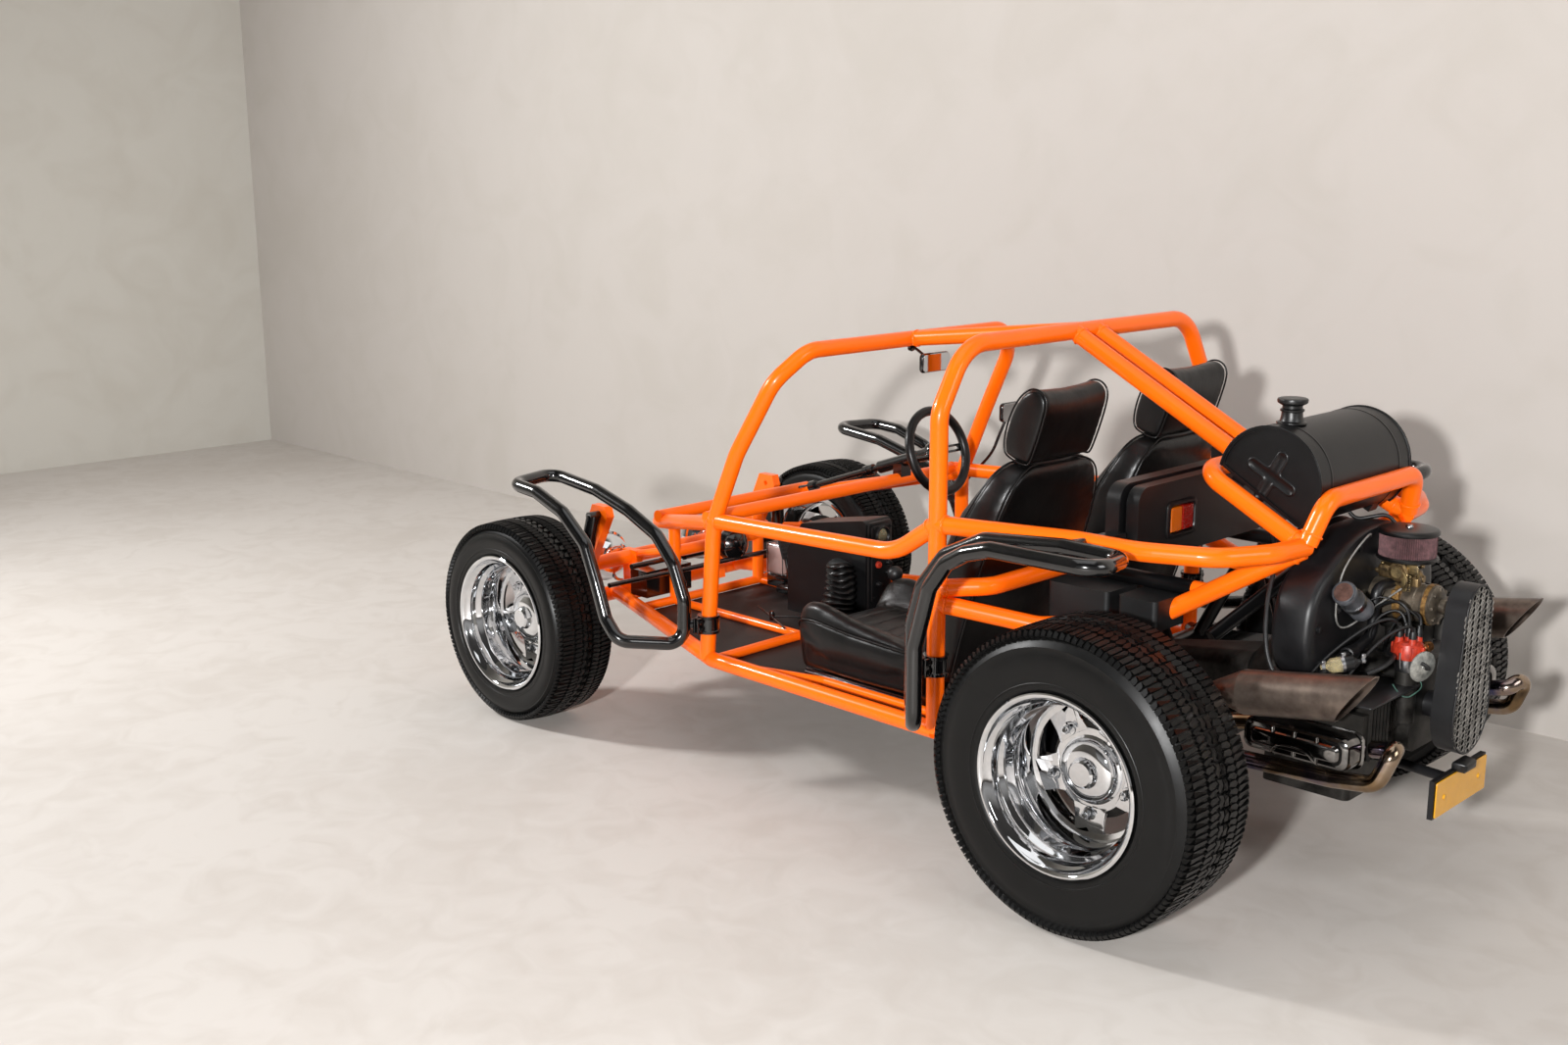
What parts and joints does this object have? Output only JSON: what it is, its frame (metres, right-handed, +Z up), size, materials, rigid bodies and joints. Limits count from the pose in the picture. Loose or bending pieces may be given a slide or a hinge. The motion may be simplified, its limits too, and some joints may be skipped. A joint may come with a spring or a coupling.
{
  "type": "dune buggy",
  "caption": "Open two-seat dune buggy with a tubular orange frame, rear air-cooled engine and black loop fenders.",
  "frame": {"origin": "on the ground under the middle of the car's length and width", "axes": "+X towards the front, +Y to the vehicle's left, +Z up"},
  "size_m": [2.9519, 1.618, 1.2662],
  "materials": {
    "orange_paint": "gloss",
    "black_gloss": "gloss",
    "black_satin": "satin",
    "floor_sheet": "matte",
    "chrome": "polished",
    "alloy": "satin",
    "cast_alloy": "matte",
    "exhaust_steel": "satin",
    "bare_steel": "satin",
    "tyre_rubber": "matte",
    "black_leather": "satin",
    "red_plastic": "gloss",
    "black_plastic": "matte",
    "grey_plastic": "satin",
    "filter_cloth": "matte",
    "yellow_plate": "gloss"
  },
  "bodies": {
    "chassis": {"main_hoop": "orange_paint", "windscreen_hoop": "orange_paint", "roof_tubes": "orange_paint", "waist_rails": "orange_paint", "tank_cradle": "orange_paint", "front_axle_beam": "orange_paint", "floor_frame": "orange_paint", "nose_frame": "orange_paint", "rear_subframe": "orange_paint", "front_arms": "orange_paint", "front_fenders": "black_gloss", "rear_fenders": "black_gloss", "front_dampers": "black_gloss", "steering_rods": "black_gloss", "steering_column": "black_gloss", "pedal_gear": "black_gloss", "seat_frames": "black_gloss", "rear_arms": "black_gloss", "floor_panels": "floor_sheet", "fuel_tank": "black_satin", "fan_shroud": "black_satin", "belt_guard": "black_satin", "console": "black_satin", "plate_bracket": "black_satin", "rear_lamp_panel": "black_satin", "megaphones": "black_satin", "filler_cap": "black_satin", "headlamps": "chrome", "rocker_covers": "chrome", "mirrors": "chrome", "carburettor": "alloy", "pulleys": "alloy", "generator": "alloy", "engine_case": "cast_alloy", "cylinder_banks": "cast_alloy", "gearbox": "cast_alloy", "header_pipes": "exhaust_steel", "seat_cushion_left": "black_leather", "seat_cushion_right": "black_leather", "seat_back_left": "black_leather", "seat_back_right": "black_leather", "headrest_left": "black_leather", "headrest_right": "black_leather", "rear_lamps": "red_plastic", "distributor": "red_plastic", "ignition_coil": "black_plastic", "battery_boxes": "grey_plastic", "air_filter": "filter_cloth", "number_plate": "yellow_plate"},
    "knuckle_left": {"knuckle_left": "bare_steel"},
    "knuckle_right": {"knuckle_right": "bare_steel"},
    "wheel_front_left": {"tyre_front_left": "tyre_rubber", "rim_front_left": "chrome"},
    "wheel_front_right": {"tyre_front_right": "tyre_rubber", "rim_front_right": "chrome"},
    "wheel_rear_left": {"tyre_rear_left": "tyre_rubber", "rim_rear_left": "chrome"},
    "wheel_rear_right": {"tyre_rear_right": "tyre_rubber", "rim_rear_right": "chrome"},
    "steering_wheel": {"steering_wheel": "black_leather"}
  },
  "joints": [
    {"name": "kingpin_left", "type": "hinge", "parent": "chassis", "child": "knuckle_left", "pos_m": [1.168, 0.545, 0.308], "axis": [0, 0, 1], "range_deg": [-25, 25]},
    {"name": "kingpin_right", "type": "hinge", "parent": "chassis", "child": "knuckle_right", "pos_m": [1.168, -0.545, 0.308], "axis": [0, 0, 1], "range_deg": [-25, 25]},
    {"name": "roll_front_left", "type": "hinge", "parent": "knuckle_left", "child": "wheel_front_left", "pos_m": [1.168, 0.684, 0.308], "axis": [0, 1, 0], "continuous": true},
    {"name": "roll_front_right", "type": "hinge", "parent": "knuckle_right", "child": "wheel_front_right", "pos_m": [1.168, -0.684, 0.308], "axis": [0, 1, 0], "continuous": true},
    {"name": "roll_rear_left", "type": "hinge", "parent": "chassis", "child": "wheel_rear_left", "pos_m": [-0.889, 0.671, 0.349], "axis": [0, 1, 0], "continuous": true},
    {"name": "roll_rear_right", "type": "hinge", "parent": "chassis", "child": "wheel_rear_right", "pos_m": [-0.889, -0.671, 0.349], "axis": [0, 1, 0], "continuous": true},
    {"name": "steering", "type": "hinge", "parent": "chassis", "child": "steering_wheel", "pos_m": [0.337, -0.28, 0.805], "axis": [-0.9466, 0, 0.3223], "range_deg": [-360, 360]}
  ],
  "couplings": [
    {"joint": "kingpin_right", "follows": "kingpin_left", "ratio": 1},
    {"joint": "steering", "follows": "kingpin_left", "ratio": 14.4}
  ]
}
